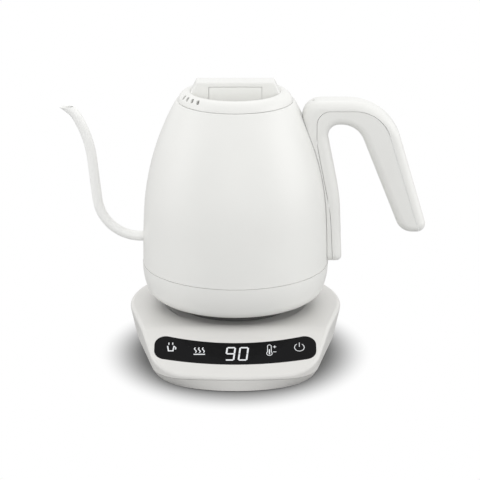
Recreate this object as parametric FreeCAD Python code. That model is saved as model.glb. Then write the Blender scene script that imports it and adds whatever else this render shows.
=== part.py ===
import FreeCAD, Part
import math
import os
from FreeCAD import Vector

# Electric gooseneck kettle on a power base, in millimetres.
# Origin on the kettle's axis at the table, +X towards the handle, -Y towards the panel, +Z up.

# Clearances
body_gap = 0.3
seam_gap = 0.3
fit_gap = 0.1
seat_gap = 0.05

# Power base: casing
base_height = 38.0
base_radius = 88.8
base_front = 117.4
base_taper = 12.0
base_lean = 12.0
front_edge_radius = 350.0
front_corner_radius = 30.0
tray_front = 110.7
tray_radius = 78.1
tray_edge_radius = 100.0
tray_corner_radius = 48.0
base_wall = 2.2
base_parting = 10.5
tray_bottom = 0.8
top_edge_round = 3.0
slope_angle = 29.0
slope_start = 66.0
slope_blend = 22.0
dish_radius = 60.0
dish_depth = 1.5
dish_lip = 3.0

# Power base: feet, screws and cord gland
foot_radius = 7.0
foot_height = 3.0
foot_edge_round = 0.8
foot_socket_rise = 1.0
foot_places = [(0.0, 0.0), (52.0, 46.0), (-52.0, 46.0), (42.0, -76.0), (-42.0, -76.0)]
screw_radius = 1.5
screw_head_radius = 2.9
screw_head_height = 2.0
screw_slot_half_width = 0.4
base_screw_bite = 9.0
boss_radius = 4.2
boss_meeting = 16.0
base_screw_places = [(62.0, 16.0), (-62.0, 16.0), (58.0, -56.0), (-58.0, -56.0)]
gland_height = 20.0
gland_radius = 6.0
gland_flange_radius = 8.5
gland_flange_length = 4.0
gland_length = 12.0
gland_bore_radius = 3.4

# Power base: panel, measured along the slope
window_length = 130.0
window_top = 16.5
window_depth = 22.4
window_top_radius = 205.0
window_bottom_radius = 290.0
window_corner = 9.0
window_thickness = 1.6
window_ledge = 2.5
board_thickness = 1.6
board_length = 118.0
board_top = 11.5
board_drop = 6.0
board_depth = 25.0
board_post_radius = 1.8
board_post_spread = 18.0
digit_width = 27.0
digit_height = 16.0
touch_pad_radius = 4.5
touch_pad_places = [(-51.2, 20.6), (-28.8, 24.6), (28.9, 24.0), (51.5, 20.6)]

# Power base: supply board and its parts
supply_length = 80.0
supply_width = 34.0
supply_near = 27.0
supply_level = 10.0
supply_post_radius = 2.5
supply_post_inset = 4.0
relay_size = (19.0, 15.0, 15.0)
relay_place = (-30.0, 36.0)
transformer_size = (26.0, 22.0, 17.0)
transformer_place = (2.0, 33.0)
buzzer_radius = 6.0
buzzer_height = 7.5
sound_hole_radius = 1.2
sound_hole_depth = 2.0
boxed_part_chamfer = 0.8
buzzer_place = (-4.5, 46.0)

# Coupling between base and kettle
post_radius = 15.0
post_height = 52.0
post_edge_round = 1.2
post_flange_radius = 20.0
post_flange_height = 2.5
tower_wall = 2.0
coupling_gap = 0.4
inner_slot = (3.0, 5.2)
outer_slot = (8.0, 10.8)
slot_floor = 44.5
pin_radius = 1.4
blade_thickness = 0.8
leaf_thickness = 0.6
leaf_angle = 40.0
leaf_drop = 3.0
blade_lift = 2.0
socket_lead_in = 2.5
socket_radius = 24.0
socket_top = 56.5

# Kettle: body shell and bottom bowl
shell_seam = 74.0
shell_top = 211.2
shell_seam_radius = 76.9
shell_lower_curve = 840.0
shell_join = 117.5
shell_upper_curve = 213.0
shell_skirt = 10.0
shell_wall = 2.0
shell_edge_round = 0.9
bowl_step = 0.4
bowl_bottom = 45.4
bowl_side_curve = 59.0
bowl_round = 13.75
bowl_wall = 2.2
bowl_lip_height = 4.0
bowl_lip_wall = 1.6
foot_ring_radius = 46.0
foot_ring_width = 4.0
sleeve_drop = 4.0
bowl_screw_circle = 59.0
bowl_screw_count = 3
bowl_screw_meeting = 51.5

# Kettle: inner vessel, heater and sensors
vessel_gap = 11.4
vessel_wall = 1.0
vessel_floor = 70.0
vessel_corner = 12.0
vessel_neck_radius = 43.8
vessel_rim = 205.5
vessel_rim_flange = 1.8
carrier_level = 62.0
carrier_plate = 2.5
carrier_wall = 2.0
carrier_inner_radius = 53.0
carrier_height = 22.0
ledge_reach = 4.5
plate_radius = 50.0
plate_thickness = 4.0
element_circle = 38.0
element_radius = 3.2
element_sweep = 310.0
terminal_radius = 1.5
terminal_length = 7.0
cutout_radius = 6.5
cutout_height = 5.0
cutout_place = 21.0
cutout_chamfer = 0.6
sensor_radius = 2.5
sensor_height = 9.0
sensor_flange_radius = 4.5
sensor_flange_height = 3.0
sensor_drop = 4.0
sensor_tip_round = 1.8
sensor_place = 28.0
sensor_seal_wall = 1.2
bracket_plate = 1.5
bracket_radius = 28.0
bracket_bore = 11.0
bracket_stud_radius = 2.2
bracket_stud_circle = 24.0

# Kettle: neck
neck_bore = 40.5
neck_tube_wall = 3.0
neck_bottom = 194.0
neck_flange = 3.0
latch_level = 202.5
latch_groove_height = 4.4
latch_groove_depth = 1.3

# Spout
spout_radius = 4.1
spout_wall = 0.8
spout_root_height = 95.0
spout_elbow = (-110.9, 36.0)
spout_bend = (-119.6, 177.7, 90.0)
spout_crook = (-131.0, 200.6, 26.0)
spout_tip_angle = 38.0
spout_tip_run = 22.0
spout_mouth = 205.5
gasket_wall = 1.4
gasket_length = 4.0
strainer_radius = 9.0
strainer_wall = 0.8
strainer_stand = 1.6
strainer_hole_radius = 0.9
strainer_hole_pitch = 2.8

# Handle, side view
handle_half_width = 13.0
handle_wall = 2.6
handle_top = 212.3
handle_root = 54.8
handle_root_round = 15.0
handle_shoulder = 125.7
handle_shoulder_round = 46.0
handle_end_level = 101.0
handle_end_outer = 159.5
handle_end_inner = 136.8
handle_end_round = 7.0
handle_flare_round = 14.0
loop_top = 192.4
loop_right = 99.8
loop_right_round = 20.0
loop_left = 73.8
loop_left_round = 9.0
strip_bend = (86.0, 132.0, 150.0)
strip_bottom = 76.0
strip_outer = 88.3
strip_end_round = 4.0
seam_top = 204.5
seam_shoulder = 119.5
seam_shoulder_round = 30.0
seam_end = 153.5
seam_overrun = 5.0
seam_end_drop = 20.0
seam_strip_drop = 10.0
seam_root = 66.4
seam_root_round = 11.0
seam_strip = (78.3, 118.0, 120.0)
seam_strip_end = 81.2
seam_strip_start = (178.0, 60.0)
handle_round = 6.5
handle_hole_radius = 1.25
handle_hole_place = 64.0
handle_hole_depth = 3.0
lower_bracket = (80.6, 3.0, 104.0)
upper_bracket = (63.0, 3.0, 198.0)
bracket_half_width = 6.0
bracket_half_height = 7.0
screw_pad = 2.5

# Lid
lid_radius = 46.9
lid_crest_radius = 38.6
lid_crown = 8.2
lid_shoulder_radius = 44.9
lid_shoulder_rise = 4.8
lid_crest_inset = 1.6
lid_crest_drop = 0.35
lid_rim_drop = 2.6
lid_rim_step = 1.5
lid_hollow_inset = 1.7
lid_hollow_drop = 1.4
lid_well_radius = 35.0
lid_well_floor = 206.6
lid_well_round = 3.0
lid_lip = 1.2
lid_lip_drop = 1.6
lid_wall = 2.0
lid_plug_radius = 38.4
lid_base_level = 197.6
lid_base_floor = 2.0
lid_base_wall = 1.8
lid_seal_height = 2.4
lid_seal_lift = 0.2
lid_seal_chamfer = 0.6
lid_screw_places = [(22.0, 16.0), (-22.0, -16.0)]
lid_boss_radius = 3.0
vent_count = 4
vent_pitch = 9.0
vent_first = 43.0
vent_width = 2.6
vent_length = 4.6
vent_slant = 25.0
vent_tilt = 48.0
vent_reach = 6.0
vent_lift = 0.8
vent_radius = 43.6

# Lid grip, its two pinch buttons and leaf springs
grip_foot_half_length = 43.0
grip_top_half_length = 31.6
grip_half_depth = 10.2
grip_top_half_depth = 8.6
grip_top = 228.0
grip_edge_round = 1.5
grip_wall = 2.2
button_half_length = 21.3
button_top = 224.0
button_bottom = 208.4
button_depth = 4.0
button_edge_round = 1.0
slider_half_width = 7.0
slider_thickness = 2.6
rib_half_thickness = 0.6
rib_half_length = 14.0
leaf_spring_half_length = 10.0
leaf_spring_width = 6.0
leaf_spring_thickness = 0.4
leaf_spring_level = 216.0

os.makedirs("parts", exist_ok=True)


def save(node, shape):
    """Write one node after checking that every solid in it is sound."""
    sound = shape.removeSplitter() if len(shape.Solids) == 1 else shape
    if not sound.isValid():
        sound = shape
    print(node, len(sound.Solids), "solid", round(sound.Volume, 1), "mm3", sound.isValid())
    sound.exportStep("parts/" + node + ".step")


def cylinder(radius, bottom, top, x=0.0, y=0.0):
    """Upright round bar between two heights."""
    return Part.makeCylinder(radius, top - bottom, Vector(x, y, bottom))


def tube(inner, outer, bottom, top, x=0.0, y=0.0):
    """Upright ring between two heights."""
    return cylinder(outer, bottom, top, x, y).cut(cylinder(inner, bottom, top, x, y))


def block(x_low, x_high, y_low, y_high, z_low, z_high):
    """Box between two corners."""
    corner = Vector(x_low, y_low, z_low)
    return Part.makeBox(x_high - x_low, y_high - y_low, z_high - z_low, corner)


def side(x, z):
    """Point of the upright plane through the axis."""
    return Vector(x, 0, z)


def flat(x, y):
    """Point of a level plane."""
    return Vector(x, y, 0)


def line(start, end):
    return Part.LineSegment(start, end).toShape()


def arc(start, middle, end):
    return Part.Arc(start, middle, end).toShape()


def swing(centre, radius, first, last):
    """Arc in the upright plane about a centre, between two angles counted upwards from level."""
    ends = []
    for angle in (first, (first + last) / 2, last):
        ends.append(centre + side(math.cos(angle), math.sin(angle)) * radius)
    return arc(*ends)


def polyline(points):
    return [line(a, b) for a, b in zip(points[:-1], points[1:])]


def rounded_path(corners, plane, closed):
    """Straight runs joined by a tangent arc at each corner, given as (across, up, radius)."""
    count = len(corners)
    ends = []
    for i, (across, up, radius) in enumerate(corners):
        here = plane(across, up)
        if radius == 0 or (not closed and i in (0, count - 1)):
            ends.append((here, None, here))
            continue
        before = plane(*corners[i - 1][:2]) - here
        after = plane(*corners[(i + 1) % count][:2]) - here
        before.normalize()
        after.normalize()
        half = before.getAngle(after) / 2
        reach = radius / math.tan(half)
        inward = before + after
        inward.normalize()
        middle = here + inward * (radius / math.sin(half) - radius)
        ends.append((here + before * reach, middle, here + after * reach))
    edges = []
    for i, (start, middle, end) in enumerate(ends):
        if middle is not None:
            edges.append(arc(start, middle, end))
        if closed or i < count - 1:
            following = ends[(i + 1) % count][0]
            if end.distanceToPoint(following) > 1e-6:
                edges.append(line(end, following))
    return Part.Wire(edges)


def turned(edges):
    """Solid turned about the kettle's axis from a closed half section."""
    return Part.Face(Part.Wire(Part.__sortEdges__(edges))).revolve(Vector(0, 0, 0), Vector(0, 0, 1), 360)


def around(shape, count, start=0.0):
    """Copies of a shape evenly round the axis."""
    copies = []
    for i in range(count):
        copy = shape.copy()
        copy.rotate(Vector(0, 0, 0), Vector(0, 0, 1), start + 360.0 * i / count)
        copies.append(copy)
    return copies


def joined(shapes):
    return shapes[0].multiFuse(shapes[1:]) if len(shapes) > 1 else shapes[0]


def screw(length, head_radius=screw_head_radius):
    """Pan-head screw pointing up, with its head's bearing face at the origin."""
    head = Part.makeCylinder(head_radius, screw_head_height, Vector(0, 0, -screw_head_height))
    slot = block(
        -head_radius,
        head_radius,
        -screw_slot_half_width,
        screw_slot_half_width,
        -screw_head_height,
        -screw_head_height / 2,
    )
    return head.cut(slot).fuse(Part.makeCylinder(screw_radius, length))


# Power base casing
# The plan is a round back, two tapering sides and a bowed front; the walls lean in downwards.

lean_rate = math.tan(math.radians(base_lean))
tray_top = base_parting - seam_gap


def plan_outline(level, radius, front_place, front_radius, corner):
    """Plan outline: round back, tapering sides, bowed front and round front corners."""
    taper = math.radians(base_taper)
    out = Vector(math.cos(taper), -math.sin(taper), 0)
    along = Vector(-math.sin(taper), -math.cos(taper), 0)
    bow_centre = Vector(0, front_radius - front_place, 0)
    start = out * (radius - corner)
    offset = start - bow_centre
    half_b = offset.dot(along)
    reach = front_radius - corner
    run = -half_b + math.sqrt(half_b ** 2 - offset.dot(offset) + reach ** 2)
    centre = start + along * run
    to_front = centre - bow_centre
    to_front.normalize()
    bisector = out + to_front
    bisector.normalize()
    side_point = out * radius
    corner_start = centre + out * corner
    corner_middle = centre + bisector * corner
    corner_end = centre + to_front * corner
    front = Vector(0, -front_place, 0)

    def mirror(point):
        return Vector(-point.x, point.y, point.z)

    edges = [
        arc(mirror(side_point), Vector(0, radius, 0), side_point),
        line(side_point, corner_start),
        arc(corner_start, corner_middle, corner_end),
        arc(corner_end, front, mirror(corner_end)),
        arc(mirror(corner_end), mirror(corner_middle), mirror(corner_start)),
        line(mirror(corner_start), mirror(side_point)),
    ]
    wire = Part.Wire(edges)
    wire.translate(Vector(0, 0, level))
    return wire


def base_outline(level, inset):
    """Outline of the cover at a height, moved in by a wall."""
    inward = inset + (base_height - level) * lean_rate
    return plan_outline(
        level, base_radius - inward, base_front - inward, front_edge_radius, front_corner_radius - inset
    )


def base_body(bottom, top, inset):
    """Cover's form between two heights, moved in by a wall."""
    return Part.makeLoft([base_outline(bottom, inset), base_outline(top, inset)], True, True)


def tray_body(inset):
    """Tray's form, which draws in to a smaller and rounder bottom, moved in by a wall."""
    bottom = plan_outline(
        tray_bottom, tray_radius - inset, tray_front - inset, tray_edge_radius, tray_corner_radius - inset
    )
    return Part.makeLoft([bottom, base_outline(tray_top, inset)], True, True)


def on_slope(shape):
    """Move a shape drawn on a level plane, with its Y up the slope, onto the panel's slope."""
    placed = shape.copy()
    placed.rotate(Vector(0, 0, 0), Vector(1, 0, 0), slope_angle)
    placed.translate(Vector(0, -slope_start, base_height))
    return placed


def above_slope(drop):
    """Space above the flat top and the sloping panel, both lowered by a wall."""
    far = 200.0
    slope = math.radians(slope_angle)
    level = base_height - drop
    edge = -slope_start + drop * math.tan(slope / 2)
    foot = Vector(0, -far, level - (far + edge) * math.tan(slope))
    corners = [
        Vector(0, far, level),
        Vector(0, edge, level),
        foot,
        Vector(0, -far, far),
        Vector(0, far, far),
    ]
    face = Part.Face(Part.Wire(polyline(corners + corners[:1])))
    face.translate(Vector(-far, 0, 0))
    return face.extrude(Vector(2 * far, 0, 0))


def window_plate(margin, bottom, top):
    """Panel window: bowed long edges and rounded ends, grown by a margin."""
    half = window_length / 2 + margin
    upper = -window_top + margin
    lower = -window_top - window_depth - margin
    upper_end = upper + half ** 2 / (2 * window_top_radius)
    lower_end = lower + half ** 2 / (2 * window_bottom_radius)
    edges = [
        arc(flat(-half, upper_end), flat(0, upper), flat(half, upper_end)),
        line(flat(half, upper_end), flat(half, lower_end)),
        arc(flat(half, lower_end), flat(0, lower), flat(-half, lower_end)),
        line(flat(-half, lower_end), flat(-half, upper_end)),
    ]
    plate = Part.Face(Part.Wire(edges)).extrude(Vector(0, 0, top - bottom))
    plate.translate(Vector(0, 0, bottom))
    uprights = [e for e in plate.Edges if abs(e.BoundBox.ZLength - (top - bottom)) < 1e-6]
    return plate.makeFillet(max(window_corner + margin, 1.0), uprights)


dish_floor = base_height - dish_depth
dish_underside = dish_floor - base_wall
slope_underside = above_slope(base_wall)

outer_block = base_body(base_parting, base_height, 0.0).cut(above_slope(0.0))


def is_slope_bend(edge):
    box = edge.BoundBox
    return box.YLength < 0.01 and box.ZLength < 0.01 and abs(box.YMax + slope_start) < 0.01


bends = [e for e in outer_block.Edges if is_slope_bend(e)]
outer_block = outer_block.makeFillet(slope_blend, bends)
rims = []
for edge in outer_block.Edges:
    faces = outer_block.ancestorsOfType(edge, Part.Face)
    tops = [f for f in faces if f.normalAt(0.5, 0.5).z > 0.5]
    if len(tops) == 1 and edge.BoundBox.ZMin > base_parting + 0.1:
        rims.append(edge)
outer_block = outer_block.makeFillet(top_edge_round, rims)

inner_block = base_body(base_parting, base_height, base_wall).cut(slope_underside)
base_top_cover = outer_block.cut(inner_block)

# The dish under the kettle, and the pad that backs it
dish_pad = cylinder(dish_radius, dish_underside, base_height - base_wall / 2)
inner_space = base_body(base_parting, base_height, base_wall / 2).cut(above_slope(base_wall / 2))
base_top_cover = base_top_cover.fuse(dish_pad.common(inner_space))
dish = Part.makeCone(
    dish_radius - dish_lip, dish_radius + dish_lip, 2 * dish_depth, Vector(0, 0, dish_floor)
)
coupling_hole = cylinder(post_radius + coupling_gap, 0, base_height)
base_top_cover = base_top_cover.cut(dish).cut(coupling_hole)

# Bosses that meet those of the tray, and posts that carry the display board
for x, y in base_screw_places:
    boss = cylinder(boss_radius, boss_meeting, base_height, x, y).common(inner_space)
    hole = cylinder(screw_radius + fit_gap, boss_meeting, base_height - 2 * base_wall, x, y)
    base_top_cover = base_top_cover.fuse(boss).cut(hole)
board_level = -board_drop
for u in (-board_post_spread, board_post_spread):
    post = Part.makeCylinder(
        board_post_radius,
        board_drop - base_wall / 2,
        Vector(u, -board_top - board_post_radius, board_level),
    )
    base_top_cover = base_top_cover.fuse(on_slope(post))

# The window's seat and the opening behind it
window_seat = window_plate(fit_gap, -window_thickness - seat_gap, 5.0)
window_opening = window_plate(-window_ledge, -2 * base_wall, 5.0)
base_top_cover = base_top_cover.cut(on_slope(window_seat)).cut(on_slope(window_opening))

gland_hole = Part.makeCylinder(
    gland_radius + fit_gap, base_radius, Vector(0, 0, gland_height), Vector(0, 1, 0)
)
base_top_cover = base_top_cover.cut(gland_hole)
save("base_top_cover", base_top_cover)

# Bottom tray with its bosses, foot sockets, supply board posts and coupling tower
tray_floor = tray_bottom + base_wall
post_flange_top = dish_underside - seat_gap
post_flange_bottom = post_flange_top - post_flange_height
above_floor = cylinder(2 * base_radius, tray_floor, base_height)
tray = tray_body(0.0).cut(tray_body(base_wall).common(above_floor))
supply_far = supply_near + supply_width
supply_posts = []
for x in (-supply_length / 2 + supply_post_inset, supply_length / 2 - supply_post_inset):
    for y in (supply_near + supply_post_inset, supply_far - supply_post_inset):
        supply_posts.append(cylinder(supply_post_radius, tray_bottom, supply_level, x, y))
tower = tube(post_flange_radius - tower_wall, post_flange_radius, tray_bottom, post_flange_bottom)
tray = tray.multiFuse(supply_posts + [tower])
head_level = tray_floor + screw_head_height
for x, y in base_screw_places:
    tray = tray.fuse(cylinder(boss_radius, tray_bottom, boss_meeting - fit_gap, x, y))
    tray = tray.cut(cylinder(screw_radius + fit_gap, 0, boss_meeting, x, y))
    tray = tray.cut(cylinder(screw_head_radius + fit_gap, 0, head_level, x, y))
for x, y in foot_places:
    tray = tray.cut(cylinder(foot_radius + fit_gap, 0, foot_height, x, y))
    socket_roof = tray_floor + foot_socket_rise
    tray = tray.fuse(tube(foot_radius + fit_gap, foot_radius + base_wall, tray_bottom, socket_roof, x, y))
    tray = tray.fuse(cylinder(foot_radius + base_wall, foot_height + seat_gap, socket_roof, x, y))
save("base_bottom_tray", tray)

feet = []
for x, y in foot_places:
    foot = cylinder(foot_radius, 0, foot_height, x, y)
    feet.append(foot.makeFillet(foot_edge_round, [e for e in foot.Edges if e.BoundBox.ZMax < 0.1]))
save("rubber_feet", Part.makeCompound(feet))

base_screw = screw(boss_meeting - head_level + base_screw_bite)
base_screws = []
for x, y in base_screw_places:
    placed = base_screw.copy()
    placed.translate(Vector(x, y, head_level - seat_gap))
    base_screws.append(placed)
save("base_screws", Part.makeCompound(base_screws))

# Panel window, display board, digits and touch pads, all square to the slope
save("display_window", on_slope(window_plate(0.0, -window_thickness, 0.0)))
board = block(
    -board_length / 2,
    board_length / 2,
    -board_top - board_depth,
    -board_top,
    board_level - seat_gap - board_thickness,
    board_level - seat_gap,
)
save("display_board", on_slope(board))
module_bottom = board_level - seat_gap
module_top = -window_thickness - seat_gap
digit_middle = -window_top - window_depth / 2
digits = block(
    -digit_width / 2,
    digit_width / 2,
    digit_middle - digit_height / 2,
    digit_middle + digit_height / 2,
    module_bottom,
    module_top,
)
save("digit_module", on_slope(digits))
pads = []
for u, down in touch_pad_places:
    pad = Part.makeCylinder(touch_pad_radius, module_top - module_bottom, Vector(u, -down, module_bottom))
    pads.append(on_slope(pad))
save("touch_pads", Part.makeCompound(pads))

# Supply board with its relay, transformer and buzzer
supply_bottom = supply_level + seat_gap
supply_top = supply_bottom + board_thickness
save(
    "supply_board",
    block(-supply_length / 2, supply_length / 2, supply_near, supply_far, supply_bottom, supply_top),
)


def on_supply_board(size, place):
    """Boxed part standing on the supply board."""
    part_bottom = supply_top + seat_gap
    shape = block(
        place[0], place[0] + size[0], place[1], place[1] + size[1], part_bottom, part_bottom + size[2]
    )
    top_edges = [e for e in shape.Edges if e.BoundBox.ZMin > part_bottom + 1]
    return shape.makeChamfer(boxed_part_chamfer, top_edges)


save("supply_relay", on_supply_board(relay_size, relay_place))
save("supply_transformer", on_supply_board(transformer_size, transformer_place))
buzzer_bottom = supply_top + seat_gap
buzzer_top = buzzer_bottom + buzzer_height
buzzer = cylinder(buzzer_radius, buzzer_bottom, buzzer_top, *buzzer_place)
sound_hole = cylinder(sound_hole_radius, buzzer_top - sound_hole_depth, buzzer_top, *buzzer_place)
save("buzzer", buzzer.cut(sound_hole))

# Cord gland at the back
gland_out = base_radius - (base_height - gland_height) * lean_rate
gland_inner_face = gland_out - base_wall - gland_flange_radius * lean_rate - fit_gap
gland_start = gland_inner_face - gland_flange_length
toward_back = Vector(0, 1, 0)
gland = Part.makeCylinder(gland_radius, gland_length, Vector(0, gland_start, gland_height), toward_back)
gland_flange = Part.makeCylinder(
    gland_flange_radius, gland_flange_length, Vector(0, gland_start, gland_height), toward_back
)
gland_bore = Part.makeCylinder(
    gland_bore_radius, gland_length, Vector(0, gland_start, gland_height), toward_back
)
save("cord_gland", gland.fuse(gland_flange).cut(gland_bore))

# Coupling: a round post on the base stands in a socket under the kettle
post = cylinder(post_radius, post_flange_bottom, post_height)
post = post.makeFillet(post_edge_round, [e for e in post.Edges if e.BoundBox.ZMin > post_height - 0.1])
post = post.fuse(cylinder(post_flange_radius, post_flange_bottom, post_flange_top))
post = post.cut(cylinder(inner_slot[1], slot_floor, post_height))
post = post.cut(tube(*outer_slot, slot_floor, post_height))
save("base_connector", post)

leaf_top = post_height - leaf_drop
leaves = []
for inner, outer in (inner_slot, outer_slot):
    ring = tube(outer - leaf_thickness - seat_gap, outer - seat_gap, slot_floor + seat_gap, leaf_top)
    reach = 2 * outer
    wedge = Part.Face(
        Part.Wire(
            polyline(
                [
                    Vector(0, 0, 0),
                    Vector(reach, 0, 0),
                    Vector(reach, reach * math.tan(math.radians(leaf_angle)), 0),
                    Vector(0, 0, 0),
                ]
            )
        )
    ).extrude(Vector(0, 0, post_height))
    leaves.extend(around(ring.common(wedge), 3))
save("connector_contacts", Part.makeCompound(leaves))

socket_bottom = bowl_bottom + body_gap
cavity_top = post_height + 2 * coupling_gap
blade_circles = [(inner + outer - leaf_thickness) / 2 for inner, outer in (inner_slot, outer_slot)]
socket = cylinder(socket_radius, socket_bottom, socket_top)
socket_bore = post_radius + coupling_gap
socket = socket.cut(cylinder(socket_bore, 0, cavity_top))
socket = socket.cut(
    Part.makeCone(socket_bore + socket_lead_in, socket_bore, socket_lead_in, Vector(0, 0, socket_bottom))
)
save("kettle_socket", socket)

blade_bottom = slot_floor + blade_lift
blades = [cylinder(pin_radius, blade_bottom, cavity_top - seat_gap)]
for middle in blade_circles:
    half = blade_thickness / 2
    blades.append(tube(middle - half, middle + half, blade_bottom, cavity_top - seat_gap))
save("socket_contacts", Part.makeCompound(blades))

# Kettle body: its side is a long arc from the seam that runs on into a rounder one up to the lid
lower_centre = side(shell_seam_radius - shell_lower_curve, shell_seam)
join_angle = math.asin((shell_join - shell_seam) / shell_lower_curve)
upper_centre = lower_centre + side(math.cos(join_angle), math.sin(join_angle)) * (
    shell_lower_curve - shell_upper_curve
)
skirt_bottom = shell_seam - shell_skirt


def shell_radius(level, inward=0.0):
    """Radius at a height of the body's side, moved in by a wall."""
    if level <= shell_seam:
        return shell_seam_radius - inward
    centre, curve = lower_centre, shell_lower_curve - inward
    if level > shell_seam + curve * math.sin(join_angle):
        centre, curve = upper_centre, shell_upper_curve - inward
    return centre.x + math.sqrt(curve ** 2 - (level - centre.z) ** 2)


def body_core(bottom, top, inward):
    """Solid that fills the body between two heights to its side, moved in by a wall."""
    upper_curve = shell_upper_curve - inward
    top_angle = math.asin((shell_top - upper_centre.z) / upper_curve)
    seam_point = side(shell_seam_radius - inward, shell_seam)
    skirt_point = side(shell_seam_radius - inward, skirt_bottom)
    edges = [
        line(skirt_point, seam_point),
        swing(lower_centre, shell_lower_curve - inward, 0.0, join_angle),
        swing(upper_centre, upper_curve, join_angle, top_angle),
    ]
    top_point = side(shell_radius(shell_top, inward), shell_top)
    edges += polyline([top_point, side(0, shell_top), side(0, skirt_bottom), skirt_point])
    return turned(edges).common(cylinder(2 * shell_seam_radius, bottom, top))


shell_bottom = shell_seam + seam_gap / 2
shell = body_core(shell_bottom, shell_top, 0.0).cut(body_core(shell_bottom, shell_top, shell_wall))
shell_top_radius = shell_radius(shell_top)
rim_edges = [e for e in shell.Edges if e.BoundBox.ZMin > shell_top - 0.01]
rim_edges = [e for e in rim_edges if e.BoundBox.XMax > shell_top_radius - shell_wall / 2]
shell = shell.makeFillet(shell_edge_round, rim_edges)
toward_spout = Vector(-1, 0, 0)
spout_hole = Part.makeCylinder(
    spout_radius + fit_gap, 2 * shell_seam_radius, Vector(0, 0, spout_root_height), toward_spout
)
shell = shell.cut(spout_hole)


def handle_screw_at(bracket):
    """Screw through the body wall into a handle bracket, with its head inside the shell."""
    bearing = shell_radius(bracket[2], shell_wall) - screw_pad - seat_gap
    placed = screw(bracket[0] + bracket[1] - bearing)
    placed.rotate(Vector(0, 0, 0), Vector(0, 1, 0), 90)
    placed.translate(Vector(bearing, 0, bracket[2]))
    return placed


def handle_screw_hole(bracket):
    start = Vector(shell_seam_radius / 3, 0, bracket[2])
    return Part.makeCylinder(screw_radius + fit_gap, shell_seam_radius, start, Vector(1, 0, 0))


shell = shell.cut(handle_screw_hole(lower_bracket)).cut(handle_screw_hole(upper_bracket))
for bracket in (lower_bracket, upper_bracket):
    pad_face = shell_radius(bracket[2], shell_wall) - screw_pad
    pad = Part.makeCylinder(boss_radius, shell_seam_radius, Vector(pad_face, 0, bracket[2]), Vector(1, 0, 0))
    pad = pad.common(body_core(shell_bottom, shell_top, shell_wall / 2)).cut(handle_screw_hole(bracket))
    shell = shell.fuse(pad)
save("outer_shell", shell)

# Bottom bowl, which closes the body and carries the foot ring
bowl_top = shell_seam - seam_gap / 2
bowl_rim_radius = shell_seam_radius + bowl_step


def bowl_solid(inward):
    """Bowl filled to its outer or inner face: a long arc from the rim, a tight one to the bottom."""
    side_centre = side(bowl_rim_radius - bowl_side_curve, bowl_top)
    drop = bowl_top - bowl_bottom - bowl_round
    slant = -math.asin(drop / (bowl_side_curve - bowl_round))
    bend_centre = side_centre + side(math.cos(slant), math.sin(slant)) * (bowl_side_curve - bowl_round)
    floor = bowl_bottom + inward
    edges = [
        swing(side_centre, bowl_side_curve - inward, 0.0, slant),
        swing(bend_centre, bowl_round - inward, slant, -math.pi / 2),
    ]
    rim_point = side(bowl_rim_radius - inward, bowl_top)
    edges += polyline([side(bend_centre.x, floor), side(0, floor), side(0, bowl_top), rim_point])
    return turned(edges)


bowl_inside = bowl_solid(bowl_wall)
bowl = bowl_solid(0.0).cut(bowl_inside)
lip_outer = shell_radius(shell_seam) - shell_wall - fit_gap
lip = tube(lip_outer - bowl_lip_wall, lip_outer, bowl_top - bowl_lip_height, bowl_top + bowl_lip_height)
lip_root = tube(lip_outer - bowl_lip_wall, bowl_rim_radius, bowl_top - bowl_lip_height, bowl_top)
lip_root = lip_root.common(bowl_solid(bowl_wall / 2))
foot_bottom = dish_floor + body_gap
foot_ring = tube(
    foot_ring_radius - foot_ring_width / 2,
    foot_ring_radius + foot_ring_width / 2,
    foot_bottom,
    bowl_bottom + bowl_wall / 2,
)
bowl = bowl.multiFuse([lip, lip_root, foot_ring])
sleeve_bore = socket_radius + body_gap
socket_sleeve = tube(sleeve_bore, sleeve_bore + bowl_wall, bowl_bottom, socket_top - sleeve_drop)
bowl = bowl.fuse(socket_sleeve).cut(cylinder(sleeve_bore, 0, shell_seam))
bowl_boss = cylinder(boss_radius, bowl_bottom + bowl_wall / 2, bowl_screw_meeting, bowl_screw_circle)
bowl_boss = bowl_boss.common(bowl_solid(bowl_wall / 2))
bowl_head_level = bowl_bottom + bowl_wall + screw_head_height
bowl_hole = cylinder(screw_radius + fit_gap, 0, shell_seam, bowl_screw_circle)
bowl_hole = bowl_hole.fuse(cylinder(screw_head_radius + fit_gap, 0, bowl_head_level, bowl_screw_circle))
bowl = bowl.multiFuse(around(bowl_boss, bowl_screw_count, 90.0))
for hole in around(bowl_hole, bowl_screw_count, 90.0):
    bowl = bowl.cut(hole)
save("bottom_bowl", bowl)

bowl_screw = screw(carrier_level - bowl_head_level - 1.0)
bowl_screw.translate(Vector(bowl_screw_circle, 0, bowl_head_level - seat_gap))
save("bowl_screws", Part.makeCompound(around(bowl_screw, bowl_screw_count, 90.0)))

# Inner vessel of drawn steel, hung from the neck and set in the carrier ring


def vessel_radius(level, inward=0.0):
    """Radius of the vessel's side, which runs parallel to the body's."""
    return shell_radius(level, vessel_gap + inward)


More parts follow.
